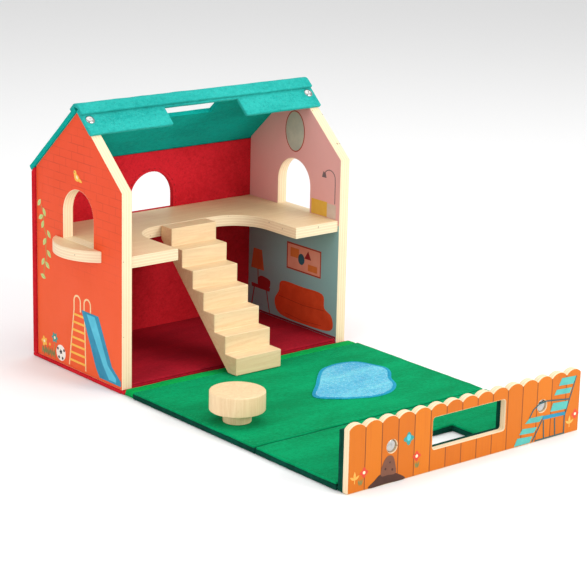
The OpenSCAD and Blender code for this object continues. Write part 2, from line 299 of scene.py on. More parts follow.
def plyMaterial(name, axis, middle, turn, layer=0.0014, figure=0.34):
    # bare plywood: veneer on its two faces, layers on every edge
    material, tree, shader = newMaterial(name, Coat_Weight=0.06, Coat_Roughness=0.3)
    _, flat = sideFacing(tree, axis)
    grain = woodLook(tree, turn, figure)
    layers = plyEdge(tree, axis, middle, layer)
    tone = blendColour(tree, spread(tree, flat, 0.86, 0.94), layers["Color"], grain["Color"])
    finishWood(tree, shader, tone, plus(tree, grain["Height"], layers["Height"]))
    return material


def printOverPly(tree, shader, face, tone, height, axis, middle, layer, wear):
    # the print stays on the faces and is rubbed off the edges, where the layers show
    layers = plyEdge(tree, axis, middle, layer)
    worn = useGroup(tree, wearGroup, wear)["Mask"]
    onFace = times(tree, face, calc(tree, "SUBTRACT", 1.0, worn))
    shown = blendColour(tree, onFace, layers["Color"], tone)
    finishWood(tree, shader, shown, plus(tree, height, layers["Height"]), 0.18)


def brickPrint(tree, dark, low, high):
    # printed courses that fade out towards the ground
    place = objectPlace(tree)
    parts = split(tree, place)
    wall = put(tree, "ShaderNodeCombineXYZ", {0: parts[1], 1: parts[2]}).outputs[0]
    brick = put(tree, "ShaderNodeTexBrick", {
        "Vector": wall, "Scale": 1.0, "Mortar Size": 0.00055, "Mortar Smooth": 0.3, "Brick Width": 0.021,
        "Row Height": 0.0082, "Color1": (0, 0, 0, 1), "Color2": (0, 0, 0, 1), "Mortar": (1, 1, 1, 1)})
    fade = spread(tree, parts[2], 0.085, 0.15)
    worn = spread(tree, cloud(tree, place, 45.0, 3.0), 0.35, 0.6)
    lines = times(tree, times(tree, brick.outputs["Fac"], fade), worn)
    body = blendColour(tree, spread(tree, parts[2], 0.02, 0.2), low, high)
    return blendColour(tree, times(tree, lines, 0.55), body, dark)


def wallMaterial(name, outwards, middle, outside, inside):
    # outwards is -1 or 1, the side of the wall that faces away from the rooms
    material, tree, shader = newMaterial(name, Coat_Roughness=0.25, **printed)
    side, flat = sideFacing(tree, 0)
    outer = brickPrint(tree, colour(outside["line"]), colour(outside["low"]), colour(outside["high"]))
    inner = blendColour(tree, calc(tree, "GREATER_THAN", split(tree, objectPlace(tree))[2], inside["split"]),
                        colour(inside["lower"]), colour(inside["upper"]))
    isOuter = calc(tree, "GREATER_THAN", times(tree, side, outwards), 0.0)
    grain = woodLook(tree, (0, math.pi / 2, 0), 0.34)
    tone = blendColour(tree, 0.10, blendColour(tree, isOuter, inner, outer), grain["Color"], "MULTIPLY")
    printOverPly(tree, shader, spread(tree, flat, 0.90, 0.985), tone, grain["Height"], 0, middle, 0.0015,
                 {"Reach": 0.0011, "Amount": 0.9})
    return material


def fenceMaterial(name, middle, plankWidth, left):
    # planks printed on the front face: warm tones, a dark joint line and drawn grain
    material, tree, shader = newMaterial(name, Coat_Roughness=0.22, **printed)
    side, flat = sideFacing(tree, 1)
    place = objectPlace(tree)
    count = calc(tree, "DIVIDE", calc(tree, "SUBTRACT", split(tree, place)[0], left), plankWidth)
    plank = {"W": calc(tree, "FLOOR", count)}
    toneMix = put(tree, "ShaderNodeTexWhiteNoise", plank, noise_dimensions="1D").outputs[0]
    body = blendColour(tree, toneMix, colour("CE7006"), colour("C46504"))
    joint = spread(tree, calc(tree, "PINGPONG", count, 0.5), 0.018, 0.034, 1.0, 0.0)
    strokes = cloud(tree, stretched(tree, (420, 420, 16), place), 1.0, 3.0, 0.55, 0.3)
    body = blendColour(tree, times(tree, spread(tree, strokes, 0.55, 0.72), 0.22), body, colour("B5530C"))
    body = blendColour(tree, times(tree, joint, 0.9), body, colour("6E3212"))
    face = times(tree, spread(tree, flat, 0.93, 0.985), calc(tree, "LESS_THAN", side, 0.0))
    printOverPly(tree, shader, face, body, strokes, 1, middle, 0.0013, {"Reach": 0.0009, "Amount": 0.8})
    return material


def inkMaterial(name, code, deep):
    # one printed colour with the wood's texture showing through it
    material, tree, shader = newMaterial(name, Coat_Roughness=0.25, **printed)
    place = objectPlace(tree)
    patches = spread(tree, cloud(tree, place, 70.0, 5.0, 0.6), 0.35, 0.7)
    tone = blendColour(tree, patches, colour(code), colour(deep))
    finishWood(tree, shader, tone, cloud(tree, place, 1500.0, 2.0, 0.5), 0.12, 0.08)
    return material


def metalMaterial(name, tone, roughLow, roughHigh):
    material, tree, shader = newMaterial(name, Metallic=1.0)
    place = objectPlace(tree)
    scratches = cloud(tree, stretched(tree, (300, 2600, 1500), place, (0.3, 0.2, 0.7)), 1.0, 4.0, 0.7)
    tarnish = cloud(tree, place, 260.0, 4.0, 0.6)
    shade = blendColour(tree, spread(tree, tarnish, 0.45, 0.8), colour(tone), colour("9A9A98"))
    tree.links.new(shade, shader.inputs["Base Color"])
    tree.links.new(spread(tree, scratches, 0.3, 0.7, roughLow, roughHigh), shader.inputs["Roughness"])
    bumpFrom(tree, shader, scratches, 0.08, 0.0001)
    return material


def threadMaterial(name, code):
    material, tree, shader = newMaterial(name, Roughness=0.8, Specular_IOR_Level=0.15)
    twist = put(tree, "ShaderNodeTexWave", {"Vector": stretched(tree, (1, 1, 1), None, (0.3, 0.5, 0.7)),
                                            "Scale": 420.0, "Distortion": 1.0, "Detail": 2.0}).outputs["Fac"]
    tone = blendColour(tree, times(tree, twist, 0.18), colour(code), colour("203A34"))
    tree.links.new(tone, shader.inputs["Base Color"])
    bumpFrom(tree, shader, twist, 0.4, 0.0002)
    return material


def boardMaterial():
    material, tree, shader = newMaterial("greyBoard", Roughness=0.9)
    chips = cloud(tree, objectPlace(tree), 700.0, 5.0, 0.7)
    tone = blendColour(tree, spread(tree, chips, 0.35, 0.7), colour("8C857B"), colour("5E5850"))
    tree.links.new(tone, shader.inputs["Base Color"])
    bumpFrom(tree, shader, chips, 0.3, 0.0003)
    return material


def named(prefix, key):
    return prefix + key[0].upper() + key[1:]


print("materials")
# each felt: base tone, a darker tone for random mottle, a lighter tone painted as highlight on the raised
# fibres, and how much of that highlight shows
feltTones = {
    "red": ("D42430", "BE1A25", "E64A44", 0.7),
    # the floor felt is the back's red felt made darker: painted shade of the lower room
    "maroon": ("B21A2C", "991526", "C93A42", 0.7),
    "green": ("009B61", "00844F", "14BA7C"),
    # the hinge strip's felt is the lawn's green made brighter: painted light on the raised strip
    "hinge": ("02A84E", "009443", "2CC571"),
    "dark": ("07493A", "05382C", "2A7560", 0.8),
    "teal": ("06AEA2", "059A8F", "3FC9BD", 0.7),
    "aqua": ("2BAEA5", "1B9B93", "74D3CB", 0.9),
    "blue": ("68C6DA", "3AA3CC", "E4F8FA", 2.2),
    "blueEdge": ("26A4C6", "1A8DB2", "78CFE0", 1.4),
}
threadTones = {"red": "A01A22", "green": "0FA368", "dark": "0C5C46", "teal": "0E8B7C", "blue": "2C9CCB"}
felts = {key: feltMaterial(named("felt", key), *tones) for key, tones in feltTones.items()}
threads = {key: threadMaterial(named("thread", key), tone) for key, tone in threadTones.items()}
grey = boardMaterial()
silver = metalMaterial("silver", "BDBDBB", 0.14, 0.3)
steel = metalMaterial("steelPlate", "B0B0B0", 0.35, 0.5)
beech = {
    "stairs": solidWood("beechStairs", (0, 0, 0), 0.42),
    "table": solidWood("beechTable", (0, math.pi / 2, 0), 0.42),
    "dowel": solidWood("beechDowel", (0, 0, 0), 0.3),
}


# ---- mesh helpers ----

def uprightX(x):
    # outline drawn in Y and Z, thickness along X
    return Matrix(((0, 0, 1, x), (1, 0, 0, 0), (0, 1, 0, 0), (0, 0, 0, 1)))


def uprightY(y):
    # outline drawn in X and Z, thickness towards -Y
    return Matrix(((1, 0, 0, 0), (0, 0, -1, y), (0, 1, 0, 0), (0, 0, 0, 1)))


def layFlat(z):
    return Matrix.Translation((0, 0, z))


def thicken(bm, thickness):
    raised = bmesh.ops.extrude_face_region(bm, geom=bm.faces[:], use_keep_orig=True)["geom"]
    lifted = [g for g in raised if isinstance(g, bmesh.types.BMVert)]
    bmesh.ops.translate(bm, vec=(0, 0, thickness), verts=lifted)
    bmesh.ops.recalc_face_normals(bm, faces=bm.faces[:])


def settle(bm, place):
    bmesh.ops.transform(bm, matrix=place, verts=bm.verts[:])
    bmesh.ops.recalc_face_normals(bm, faces=bm.faces[:])
    return bm


def cutAcross(bm, axis, cut):
    point, normal = [0, 0, 0], [0, 0, 0]
    point[axis], normal[axis] = cut, 1
    bmesh.ops.bisect_plane(bm, geom=bm.verts[:] + bm.edges[:] + bm.faces[:], dist=1e-6, plane_co=point,
                           plane_no=normal)


def makeSlab(loops, thickness, place, rounding=0.0005, sharp=50):
    # a closed slab from a 2D outline and its holes
    bm = bmesh.new()
    rim = []
    for loop in loops:
        corners = [bm.verts.new((u, v, 0)) for u, v in loop]
        rim += [bm.edges.new((corners[i - 1], corners[i])) for i in range(len(corners))]
    bmesh.ops.triangle_fill(bm, use_beauty=True, use_dissolve=False, edges=rim)
    thicken(bm, thickness)
    bmesh.ops.dissolve_limit(bm, angle_limit=0.002, verts=[], edges=[
        e for e in bm.edges if e.is_manifold and e.calc_face_angle(0) < 0.001])
    roundEdges(bm, rounding, sharp)
    return settle(bm, place)


def roundEdges(bm, rounding, sharp=50):
    edges = [e for e in bm.edges if e.is_manifold and e.calc_face_angle(0) > math.radians(sharp)]
    if rounding and edges:
        bmesh.ops.bevel(bm, geom=edges, offset=rounding, offset_type="OFFSET", segments=3, profile=0.5,
                        affect="EDGES", clamp_overlap=True, material=-1)


def makeSheet(low, high, thickness, place, hole=None, cell=0.006, rounding=0.0008, wave=0.00025, seed=0.0):
    # a felt sheet cut into a grid, so that its surface and edges can wander a little
    bm = bmesh.new()
    bmesh.ops.create_grid(bm, x_segments=1, y_segments=1, size=0.5)
    bmesh.ops.scale(bm, vec=(high[0] - low[0], high[1] - low[1], 1), verts=bm.verts[:])
    bmesh.ops.translate(bm, vec=((low[0] + high[0]) / 2, (low[1] + high[1]) / 2, 0), verts=bm.verts[:])
    for axis in (0, 1):
        steps = max(2, round((high[axis] - low[axis]) / cell))
        cuts = [low[axis] + (high[axis] - low[axis]) * i / steps for i in range(1, steps)]
        if hole:
            edges = (hole[0][axis], hole[1][axis])
            cuts = [c for c in cuts if min(abs(c - e) for e in edges) > cell * 0.3] + list(edges)
        for cut in cuts:
            cutAcross(bm, axis, cut)
    if hole:
        inside = [f for f in bm.faces if all(
            hole[0][k] < f.calc_center_median()[k] < hole[1][k] for k in (0, 1))]
        bmesh.ops.delete(bm, geom=inside, context="FACES")
    thicken(bm, thickness)
    roundEdges(bm, rounding)
    for v in bm.verts:
        here = Vector((v.co.x * 34 + seed, v.co.y * 34, seed * 0.7))
        fine = Vector((v.co.x * 210, v.co.y * 210 + seed, 3.1))
        v.co.z += wave * (noise.noise(here) + 0.35 * noise.noise(fine))
        v.co.x += wave * 0.8 * noise.noise(fine + Vector((9, 0, 0)))
        v.co.y += wave * 0.8 * noise.noise(fine + Vector((0, 9, 0)))
    return settle(bm, place)


def joined(*parts):
    whole = bmesh.new()
    for bm in parts:
        mesh = bpy.data.meshes.new("part")
        bm.to_mesh(mesh)
        bm.free()
        whole.from_mesh(mesh)
        bpy.data.meshes.remove(mesh)
    return whole


def makePiece(bm, name, materials, body=None, node=None, weighted=True, smooth=50):
    mesh = bpy.data.meshes.new(name)
    bm.to_mesh(mesh)
    bm.free()
    for material in materials:
        mesh.materials.append(material)
    mesh.polygons.foreach_set("use_smooth", [True] * len(mesh.polygons))
    mesh.set_sharp_from_angle(angle=math.radians(smooth))
    piece = bpy.data.objects.new(name, mesh)
    bpy.context.scene.collection.objects.link(piece)
    if weighted:
        piece.modifiers.new("evenShading", "WEIGHTED_NORMAL").keep_sharp = True
    if body:
        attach(piece, body)
    if node:
        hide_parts(node)
    return piece


def arc(cx, cy, radius, start, end, count):
    angles = [math.radians(start + (end - start) * i / count) for i in range(count + 1)]
    return [(cx + radius * math.cos(a), cy + radius * math.sin(a)) for a in angles]


def boxLoop(low, high, inset=0.0):
    x0, y0, x1, y1 = low[0] + inset, low[1] + inset, high[0] - inset, high[1] - inset
    return [(x0, y0), (x1, y0), (x1, y1), (x0, y1)]


def roundedBox(low, high, radius, count=4):
    corners = zip(boxLoop(low, high, radius), (180, 270, 0, 90))
    return [p for (x, y), start in corners for p in arc(x, y, radius, start, start + 90, count)]


def archway(width, sill, crown, middle=0.0, count=24):
    radius = width / 2
    return ([(middle - radius, sill), (middle + radius, sill)]
            + arc(middle, crown - radius, radius, 0, 180, count))


def lathe(profile, place, steps=48):
    # profile is (radius, height) from the bottom middle to the top middle
    bm = bmesh.new()
    points = [bm.verts.new((r, 0, h)) for r, h in profile]
    edges = [bm.edges.new((points[i], points[i + 1])) for i in range(len(points) - 1)]
    bmesh.ops.spin(bm, geom=points + edges, cent=(0, 0, 0), axis=(0, 0, 1), angle=math.tau, steps=steps,
                   use_merge=True)
    bmesh.ops.remove_doubles(bm, verts=bm.verts[:], dist=1e-6)
    return settle(bm, place)


stitch = {"gap": 0.0048, "length": 0.0034, "width": 0.0008, "inset": 0.0035}


def stitchRow(bm, route, closed, lift):
    points = [Vector(p) for p in route] + ([Vector(route[0])] if closed else [])
    stretch = Matrix.Diagonal((stitch["length"] / 2, stitch["width"] / 2, stitch["width"] / 2.6, 1))
    for a, b in zip(points, points[1:]):
        along = (b - a).normalized()
        turn = Matrix((along, lift.cross(along).normalized(), lift)).transposed().to_4x4()
        count = max(1, round((b - a).length / stitch["gap"]))
        for i in range(count):
            middle = Matrix.Translation(a.lerp(b, (i + 0.5) / count))
            bmesh.ops.create_uvsphere(bm, u_segments=6, v_segments=4, radius=1.0,
                                      matrix=middle @ turn @ stretch)


def laidOn(loop, place):
    return [place @ Vector((u, v, 0)) for u, v in loop]


def stitchPiece(name, rows, thread, body):
    # each row is (route, whether it closes, the way up off the cloth)
    bm = bmesh.new()
    for route, closed, lift in rows:
        stitchRow(bm, route, closed, Vector(lift))
    return makePiece(bm, name, [threads[thread]], body, weighted=False, smooth=80)


def paint(material, *nodes):
    for node in nodes:
        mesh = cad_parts[node].data
        mesh.materials.clear()
        mesh.materials.append(material)


def span(node):
    low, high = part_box(node)
    return low, high, (low + high) / 2


# ---- gable walls ----
print("walls")
wallLow, wallHigh, _ = span("right_wall")
plyThick = wallHigh.x - wallLow.x
halfWidth = wallHigh.x
frontY, backY, peakZ = wallLow.y, wallHigh.y, wallHigh.z
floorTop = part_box("upper_floor")[1].z
gable = {"eave": 0.196, "rounding": 0.0007, "windowWidth": 0.052, "windowCrown": 0.185}
slope = math.atan2(peakZ - gable["eave"], backY)
gableLoops = [[(frontY, wallLow.z), (backY, wallLow.z), (backY, gable["eave"]), (0, peakZ),
               (frontY, gable["eave"])],
              archway(gable["windowWidth"], floorTop, gable["windowCrown"])]
brickTones = {"line": "C2330C", "low": "EC5A22", "high": "E6481A"}
rooms = {"left": {"split": 0.125, "lower": "C8323A", "upper": "E4573F"},
         "right": {"split": 0.1275, "lower": "93C2C4", "upper": "EAAEAB"}}
for side, x, outwards, slotName in (("left", -halfWidth, -1.0, "wall_print_red"),
                                    ("right", halfWidth - plyThick, 1.0, "wall_print_pink")):
    material = wallMaterial(side + "WallPly", outwards, x + plyThick / 2, brickTones, rooms[side])
    makePiece(makeSlab(gableLoops, plyThick, uprightX(x), gable["rounding"]), side + "Wall", [material],
              "house", side + "_wall")


# ---- upper floor and balcony ----
print("floors")
board = {"recessWidth": 0.146, "recessDepth": 0.086, "corner": 0.038, "rounding": 0.0007}
floorLow, floorHigh, floorMid = span("upper_floor")


def floorLoop():
    half, radius = board["recessWidth"] / 2, board["corner"]
    deep = floorLow.y + board["recessDepth"] - radius
    recess = arc(half - radius, deep, radius, 0, 90, 16) + arc(-half + radius, deep, radius, 90, 180, 16)
    return ([(floorLow.x, floorLow.y), (floorLow.x, floorHigh.y), (floorHigh.x, floorHigh.y),
             (floorHigh.x, floorLow.y), (half, floorLow.y)] + recess + [(-half, floorLow.y)])


makePiece(makeSlab([floorLoop()], plyThick, layFlat(floorLow.z), board["rounding"]), "upperFloor",
          [plyMaterial("floorPly", 2, floorMid.z, (0, 0, 0))], "house", "upper_floor")

ledgeLow, ledgeHigh, ledgeMid = span("balcony")
ledge = {"rounding": 0.0009, "grainTurn": 1.5}


def balconyLoop():
    half, reach = (ledgeHigh.y - ledgeLow.y) / 2, ledgeHigh.x - ledgeLow.x
    radius = (half * half + reach * reach) / (2 * reach)
    angle = math.degrees(math.asin(half / radius))
    return arc(ledgeLow.x + radius, 0, radius, 180 - angle, 180 + angle, 28)


ledgePly = plyMaterial("balconyPly", 2, ledgeMid.z, (0, 0, ledge["grainTurn"]))
makePiece(makeSlab([balconyLoop()], plyThick, layFlat(ledgeLow.z), ledge["rounding"]), "balconyShelf",
          [ledgePly], "house", "balcony")
paint(beech["dowel"], "floor_dowels")


# ---- felt shell of the house ----
print("house felt")
hem, pile = 4 * mm, 2 * mm


def feltPiece(parts, name, felt, body, node):
    piece = makePiece(joined(*parts), name, [felts[felt]], body, node)


def feltRim(low, high, depth, place, rounding, hole=None):
    # felt turned in round a board's edges, and round a hole in it
    loops = [(boxLoop(low, high), boxLoop(low, high, hem))]
    if hole:
        loops.append((boxLoop(*hole, -hem), boxLoop(*hole)))
    return [makeSlab(pair, depth, place, rounding) for pair in loops]


baseLow, baseHigh, _ = span("base_felt")
base = {"tongue": 2.2 * mm, "flat": (0.284, 0.159)}
feltPiece([makeSheet((baseLow.x, frontY), baseHigh.xy, baseHigh.z, layFlat(0), wave=0.00012),
           makeSheet((baseLow.x + mm, baseLow.y), (baseHigh.x - mm, frontY + mm), base["tongue"], layFlat(0),
                     wave=0.0001, seed=4.0)],
          "baseFelt", "red", "house", "base_felt")

liningLow, liningHigh, _ = span("floor_lining")
feltPiece([makeSheet(liningLow.xy, liningHigh.xy, pile, layFlat(liningHigh.z - pile), wave=0.0002, seed=7.0),
           makeSheet((liningLow.x, liningLow.z), (liningHigh.x, liningHigh.z - pile), pile,
                     uprightY(liningLow.y + pile), wave=0.0001)],
          "floorLining", "maroon", "house", "floor_lining")

backLow, backHigh, _ = span("back_lining")
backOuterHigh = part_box("back_felt")[1]
back = {"windowWidth": 0.054, "windowCrown": 0.173, "gap": 0.15 * mm, "rim": 0.0004, "flat": (0.284, 0.188)}


def backWindow(grow=0.0, sill=0.0, count=24):
    return archway(back["windowWidth"] + 2 * grow, floorTop - sill, back["windowCrown"] + grow, count=count)


backFoot, backTop = (backLow.x, backLow.z), (backHigh.x, backHigh.z)
underRoof = pile * math.tan(slope)
liningTop = (backHigh.x, gable["eave"] - underRoof - back["gap"])
rimTop = (backHigh.x, backHigh.z + underRoof - back["gap"])
coreThick = backOuterHigh.y - backHigh.y - pile
coreFace = uprightY(backHigh.y + coreThick)
feltPiece([makeSlab([boxLoop(backFoot, liningTop), backWindow()], backHigh.y - backLow.y,
                    uprightY(backHigh.y), 0.0007)],
          "backLining", "red", "house", "back_lining")
feltPiece([makeSlab([boxLoop(backFoot, backTop), backWindow()], pile, uprightY(backOuterHigh.y), 0.0009),
           *feltRim(backFoot, rimTop, coreThick, coreFace, back["rim"]),
           makeSlab([backWindow(hem, hem), backWindow()], coreThick, coreFace, back["rim"])],
          "backFelt", "red", "house", "back_felt")


# ---- roof ----
print("roof")


def backSlope(height=0.0):
    # outline drawn along X and down the back slope, thickness out of the slope
    out = Vector((0, math.sin(slope), math.cos(slope)))
    down = Vector((0, math.cos(slope), -math.sin(slope)))
    at = Vector((0, 0, peakZ)) + out * height
    return Matrix(((1, down.x, out.x, at.x), (0, down.y, out.y, at.y), (0, down.z, out.z, at.z), (0, 0, 0, 1)))


def frontSlope(height=0.0):
    return Matrix.Diagonal((1, -1, 1, 1)) @ backSlope(height)


roof = {"half": 0.142, "lining": 1.6 * mm, "core": 1.8 * mm, "skin": 1.6 * mm, "length": 0.1071,
        "top": 0.2 * mm, "slotNear": 0.014, "slotFar": 0.034, "slotHalf": 0.039, "rim": 0.0004,
        "flat": (0.284, 0.107)}
roofSkinAt = roof["lining"] + roof["core"]
roofFull = roofSkinAt + roof["skin"]
roofHole = ((-roof["slotHalf"], roof["slotNear"]), (roof["slotHalf"], roof["slotFar"]))
roofLow, roofHigh = (-roof["half"], roof["top"]), (roof["half"], roof["length"])
roofLining = makeSheet(roofLow, roofHigh, roof["lining"], backSlope(), roofHole, wave=0.0001, rounding=0.0005,
                       seed=1.0)
roofSkin = makeSheet(roofLow, roofHigh, roof["skin"], backSlope(roofSkinAt), roofHole, wave=0.0002,
                     rounding=0.0006, seed=2.0)
roofRims = feltRim(roofLow, roofHigh, roof["core"], backSlope(roof["lining"]), roof["rim"], roofHole)
feltPiece([roofLining], "roofLining", "teal", "house",
          "roof_lining")
feltPiece([roofSkin, *roofRims], "roofFelt", "teal", "house",
          "roof_felt")

band = {"reach": 8 * mm, "thick": 3 * mm, "seam": 0.1 * mm, "steps": 8}
flap = {"thick": 3.6 * mm, "tab": 0.031, "waist": 9.5 * mm, "cutHalf": 0.045, "corner": 1.6 * mm,
        "rivetDown": 0.014}


def slopePoint(side, down, out):
    return (side * (down * math.cos(slope) + out * math.sin(slope)),
            peakZ - down * math.sin(slope) + out * math.cos(slope))


def bandLoop():
    frontTop, backTop = flap["thick"] + band["thick"], roofFull + band["thick"]
    crown = []
    for i in range(band["steps"] + 1):
        part = i / band["steps"]
        angle = math.pi / 2 + slope * (1 - 2 * part)
        radius = frontTop + (backTop - frontTop) * part
        crown.append((radius * math.cos(angle), peakZ + radius * math.sin(angle)))
    front = [slopePoint(-1, *at) for at in ((band["seam"], flap["thick"]), (band["reach"], flap["thick"]),
                                            (band["reach"], frontTop))]
    return front + crown + [slopePoint(1, *at) for at in (
        (band["reach"], backTop), (band["reach"], roofFull), (band["seam"], roofFull))]


def wander(bm, amount, seed, step=0.008):
    # cuts a long felt piece across and lets it wander
    xs = [v.co.x for v in bm.verts]
    count = round((max(xs) - min(xs)) / step)
    for i in range(1, count):
        cutAcross(bm, 0, min(xs) + (max(xs) - min(xs)) * i / count)
    for v in bm.verts:
        here = v.co * 70 + Vector((seed, seed, seed))
        v.co += Vector((0, noise.noise(here), noise.noise(here + Vector((5, 1, 8))))) * amount
    return bm


def flapLoop():
    half, cut, waist, r = roof["half"], flap["cutHalf"], flap["waist"], flap["corner"]
    low = flap["tab"] - r
    return ([(-half, roof["top"]), (half, roof["top"])] + arc(half - r, low, r, 0, 90, 4)
            + arc(cut + r, low, r, 90, 180, 4) + [(cut, waist), (-cut, waist)]
            + arc(-cut - r, low, r, 0, 90, 4) + arc(-half + r, low, r, 90, 180, 4))


bandSlab = makeSlab([bandLoop()], roof["half"] * 2, uprightX(-roof["half"]), 0.0009)
feltPiece([wander(bandSlab, 0.0004, 3.0)], "ridgeBand", "aqua", "house",
          "ridge_band")
flapSlab = wander(makeSlab([flapLoop()], flap["thick"], frontSlope(), 0.001), 0.0003, 8.0)
bmesh.ops.recalc_face_normals(flapSlab, faces=flapSlab.faces[:])
feltPiece([flapSlab], "roofFlap", "aqua", "house",
          "roof_flap")

rivetProfile = [(r * mm, z * mm) for r, z in (     # radius and height from the shank to the domed cap
    (0, -1.5), (1.8, -1.5), (1.8, 0), (4.5, 0), (4.7, 0.25), (4.55, 0.5), (4, 0.85), (3.2, 1.2), (2.1, 1.48),
    (1.2, 1.56), (0.8, 1.42), (0, 1.36))]
caps = [lathe(rivetProfile, frontSlope(flap["thick"]) @ Matrix.Translation(
    (side * (halfWidth - plyThick / 2), flap["rivetDown"], 0))) for side in (-1, 1)]
makePiece(joined(*caps), "flapRivets", [silver], "house", "flap_rivets",
          weighted=False, smooth=60)


# ---- lawn, front roof panel and fence backing ----
print("lawn")
lawnLow, lawnHigh, _ = span("lawn_underfelt")
panelLow, panelHigh, _ = span("front_roof_underfelt")
stripLow, stripHigh, _ = span("hinge_strip")
backingLow, backingHigh, _ = span("fence_backing")
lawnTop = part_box("lawn_felt")[1].z
lawn = {"skin": 2 * mm, "groove": 1.1 * mm, "rim": 0.0005, "flat": (0.282, 0.187)}
panel = {"gripHalf": 0.044, "gripNear": 0.012, "gripLong": 0.040, "flat": (0.282, 0.110), "area": 0.0272}
backing = {"skin": 3.6 * mm, "slotHalf": 0.044, "slotLow": 0.0195, "slotHigh": 0.049, "flat": (0.280, 0.055),
           "area": 0.0126}
grip = ((-panel["gripHalf"], panelLow.y + panel["gripNear"]),
        (panel["gripHalf"], panelLow.y + panel["gripNear"] + panel["gripLong"]))
slotBox = ((-backing["slotHalf"], backing["slotLow"]), (backing["slotHalf"], backing["slotHigh"]))
backingHole = tuple((u + sign * mm, v + sign * mm) for (u, v), sign in zip(slotBox, (-1, 1)))


def feltTray(low, high, hole=None, seed=0.0):
    # a skin with a rim round the hidden board
    skin = makeSheet(low.xy, high.xy, lawn["skin"], layFlat(0), hole, wave=0.0001, rounding=0.0007, seed=seed)
    return [skin] + feltRim(low, high, high.z - lawn["skin"], layFlat(lawn["skin"]), lawn["rim"], hole)


def topFelt(low, high, hole=None, seed=0.0, near=0.0):
    # the top felt stops short of each fold
    return [makeSheet((low.x, low.y + near), (high.x, high.y - lawn["groove"]), lawnTop - high.z,
                      layFlat(high.z), hole, rounding=0.001, wave=0.0004, seed=seed)]


# the hinge felt's brighter green is painted light on the raised strip
feltPiece([makeSheet(stripLow.xy, stripHigh.xy, stripHigh.z, layFlat(0), cell=0.004, rounding=0.0026,
                     wave=0.0004, seed=5.0)],
          "hingeStrip", "hinge", "lawn", "hinge_strip")
feltPiece(feltTray(lawnLow, lawnHigh, seed=1.5), "lawnUnderfelt", "dark", "lawn",
          "lawn_underfelt")
feltPiece(topFelt(lawnLow, lawnHigh, seed=2.5, near=lawn["groove"]), "lawnFelt", "green", "lawn",
          "lawn_felt")
feltPiece(feltTray(panelLow, panelHigh, grip, 3.5), "frontRoofUnderfelt", "dark", "front_roof",
          "front_roof_underfelt")
feltPiece(topFelt(panelLow, panelHigh, grip, 4.5), "frontRoofFelt", "green", "front_roof",
          "front_roof_felt")

backingBox = ((backingLow.x, backingLow.z), (backingHigh.x, backingHigh.z))
feltPiece([makeSheet(*backingBox, backing["skin"], uprightY(backingHigh.y), backingHole, wave=0.0002,
                     rounding=0.0009, seed=6.5),
           *feltRim(*backingBox, backingHigh.y - backingLow.y - backing["skin"],
                    uprightY(backingHigh.y - backing["skin"]), lawn["rim"], backingHole)],
          "fenceBacking", "dark", "fence_panel", "fence_backing")


# ---- felt strips across the folds ----
fold = {"reach": 6 * mm, "thick": 1.2 * mm, "cell": 0.0012, "rounding": 0.0003}


def foldStrip(name, felt, side, near, far, z):
    # near and far are the facing edges of two panels, near the one closer to the house
    low, high = (side[0].x + mm, far - fold["reach"]), (side[1].x - mm, near + fold["reach"])
    bm = makeSheet(low, high, fold["thick"], layFlat(z), cell=fold["cell"], rounding=fold["rounding"],
                   wave=0.0)
    piece = makePiece(bm, name, [felts[felt]])
    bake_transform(piece)


# the house fold also uses the brighter hinge green, painted light
foldStrip("houseFold", "hinge", (stripLow, stripHigh), baseLow.y, stripHigh.y, 0.4 * mm)
foldStrip("lawnFold", "dark", (lawnLow, lawnHigh), lawnLow.y, panelHigh.y,
          lawnTop - 2.6 * mm)
foldStrip("fenceFold", "dark", (panelLow, panelHigh), panelLow.y, backingHigh.y, 2.4 * mm)


# ---- pool ----
def smoothLoop(points, steps=6):
    # Catmull-Rom through listed points
    loop = []
    for i in range(len(points)):
        a, b, c, d = (Vector(points[(i + k) % len(points)]) for k in (-1, 0, 1, 2))
        for s in range(steps):
            t = s / steps
            bend, twist = 2 * a - 5 * b + 4 * c - d, 3 * b - a - 3 * c + d
            p = 0.5 * (2 * b + (c - a) * t + bend * t * t + twist * t ** 3)
            loop.append((p.x, p.y))
    return loop


def offsetLoop(loop, amount):
    # moves an outline that runs anticlockwise in by the given amount
    moved = []
    for i, (x, y) in enumerate(loop):
        along = (Vector(loop[(i + 1) % len(loop)]) - Vector(loop[i - 1])).normalized()
        moved.append((x - along.y * amount, y + along.x * amount))
    return moved


pool = {"edge": 3.5 * mm, "edgeThick": 0.9 * mm, "waterThick": 1.1 * mm, "sink": 0.1 * mm, "rounding": 0.0003,
        "seam": 1.8 * mm, "flat": (0.118, 0.101), "points": [
            (-11, -205), (14, -178), (44, -148), (62, -140), (81, -139), (96, -146), (103, -163), (106, -178),
            (100, -191), (88, -205), (79, -222), (65, -234), (50, -239), (34, -238), (20, -232), (5, -224)]}
poolLoop = smoothLoop([(x * mm, y * mm) for x, y in reversed(pool["points"])])
poolInner = offsetLoop(poolLoop, pool["edge"])
poolPlace = layFlat(lawnTop - pool["sink"])
edging = makeSlab([poolLoop, poolInner], pool["edgeThick"], poolPlace, pool["rounding"])
water = makeSlab([poolInner], pool["waterThick"], poolPlace, pool["rounding"])
for face in water.faces:
    face.material_index = 1
poolPiece = makePiece(joined(edging, water), "poolPatch", [felts["blueEdge"], felts["blue"]],
                      "lawn", "pool_patch")


